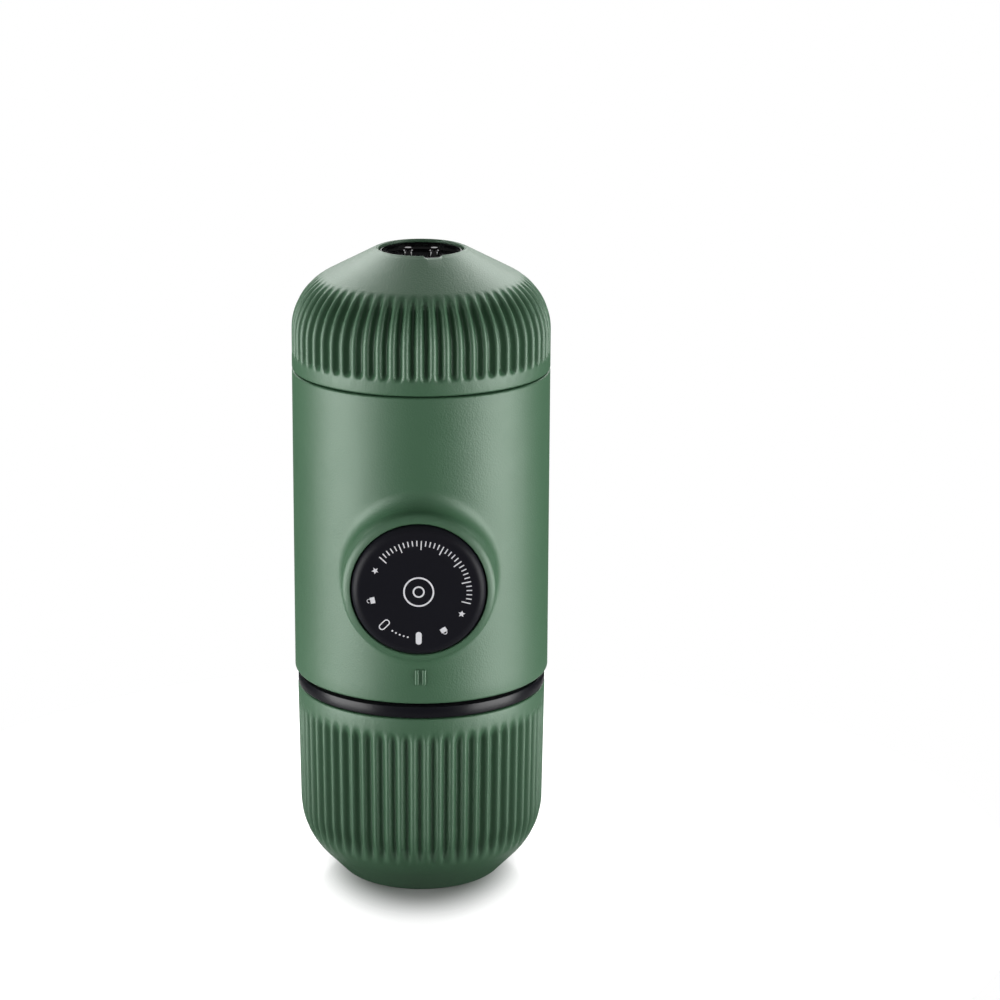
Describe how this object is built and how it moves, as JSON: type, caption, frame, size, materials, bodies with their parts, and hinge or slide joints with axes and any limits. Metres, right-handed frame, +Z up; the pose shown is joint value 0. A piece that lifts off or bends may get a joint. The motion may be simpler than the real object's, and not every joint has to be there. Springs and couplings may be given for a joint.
{
  "type": "handheld manual espresso maker",
  "caption": "Upright cylindrical hand-pump espresso maker with fluted ends, a round pump knob on its front, a screw-on portafilter on top, a screw-on water tank and a pull-off cup below.",
  "frame": {"origin": "centre of the cup's flat foot, on the body axis", "axes": "+Z up the body axis, -Y the way the pump knob faces, +X to the right seen from the knob's side"},
  "size_m": [0.062, 0.071, 0.156],
  "materials": {
    "green_shell": "fine satin soft-touch",
    "black_plastic": "satin moulded",
    "gloss_black": "gloss",
    "knob_black": "satin with pale print",
    "tank_black": "satin moulded",
    "pump_plastic": "moulded",
    "steel": "brushed",
    "spring_steel": "drawn wire",
    "silicone": "silicone"
  },
  "bodies": {
    "main_body": {"main_body_shell": "green_shell", "pump_block": "pump_plastic", "pump_cylinder": "steel", "rod_bush": "pump_plastic", "inlet_valve": "silicone", "outlet_valve": "silicone", "intake_fitting": "pump_plastic", "intake_tube": "silicone", "intake_strainer": "black_plastic", "relief_spring": "spring_steel", "relief_cap": "black_plastic", "guide_sleeve": "black_plastic", "chassis_screws": "steel", "group_head": "black_plastic", "shower_screen": "steel", "group_gasket": "silicone", "return_spring": "spring_steel"},
    "relief_valve": {"relief_plunger": "steel"},
    "piston": {"piston_rod": "steel", "plunger": "pump_plastic", "piston_seals": "silicone"},
    "knob": {"knob_cap": "knob_black", "retaining_ring": "steel", "lock_ring": "black_plastic"},
    "basket": {"filter_basket": "steel"},
    "portafilter": {"portafilter_shell": "green_shell", "portafilter_bowl": "black_plastic", "valve_retainer": "pump_plastic", "crema_spring": "spring_steel"},
    "crema_valve": {"crema_valve": "pump_plastic"},
    "outlet_head": {"outlet_head": "gloss_black", "outlet_seal": "silicone"},
    "tank_seal": {"tank_gasket": "silicone"},
    "tank": {"water_tank": "tank_black"},
    "cup": {"cup": "green_shell"}
  },
  "joints": [
    {"name": "piston_stroke", "type": "slide", "parent": "main_body", "child": "piston", "axis": [0, -1, 0], "range_m": [0, 0.022], "deforming": ["return_spring"]},
    {"name": "knob_turn", "type": "hinge", "parent": "piston", "child": "knob", "pos_m": [0, 0, 0.0828], "axis": [0, -1, 0], "range_deg": [0, 45]},
    {"name": "portafilter_lift", "type": "slide", "parent": "main_body", "child": "basket", "axis": [0, 0, 1], "range_m": [0, 0.03]},
    {"name": "portafilter_turn", "type": "hinge", "parent": "basket", "child": "portafilter", "pos_m": [0, 0, 0.127], "axis": [0, 0, 1], "range_deg": [0, 360]},
    {"name": "outlet_head_pull", "type": "slide", "parent": "portafilter", "child": "outlet_head", "axis": [0, 0, 1], "range_m": [0, 0.015]},
    {"name": "crema_valve_travel", "type": "slide", "parent": "portafilter", "child": "crema_valve", "axis": [0, 0, 1], "range_m": [0, 0.001], "stiffness_N_per_m": 200, "springref_m": -0.001, "deforming": ["crema_spring"]},
    {"name": "relief_valve_travel", "type": "slide", "parent": "main_body", "child": "relief_valve", "axis": [1, 0, 0], "range_m": [0, 0.0012], "stiffness_N_per_m": 200, "springref_m": -0.001, "deforming": ["relief_spring"]},
    {"name": "tank_drop", "type": "slide", "parent": "main_body", "child": "tank_seal", "axis": [0, 0, -1], "range_m": [0, 0.06]},
    {"name": "tank_turn", "type": "hinge", "parent": "tank_seal", "child": "tank", "pos_m": [0, 0, 0.0516], "axis": [0, 0, -1], "range_deg": [0, 360]},
    {"name": "cup_pull", "type": "slide", "parent": "tank", "child": "cup", "axis": [0, 0, -1], "range_m": [0, 0.06]}
  ]
}
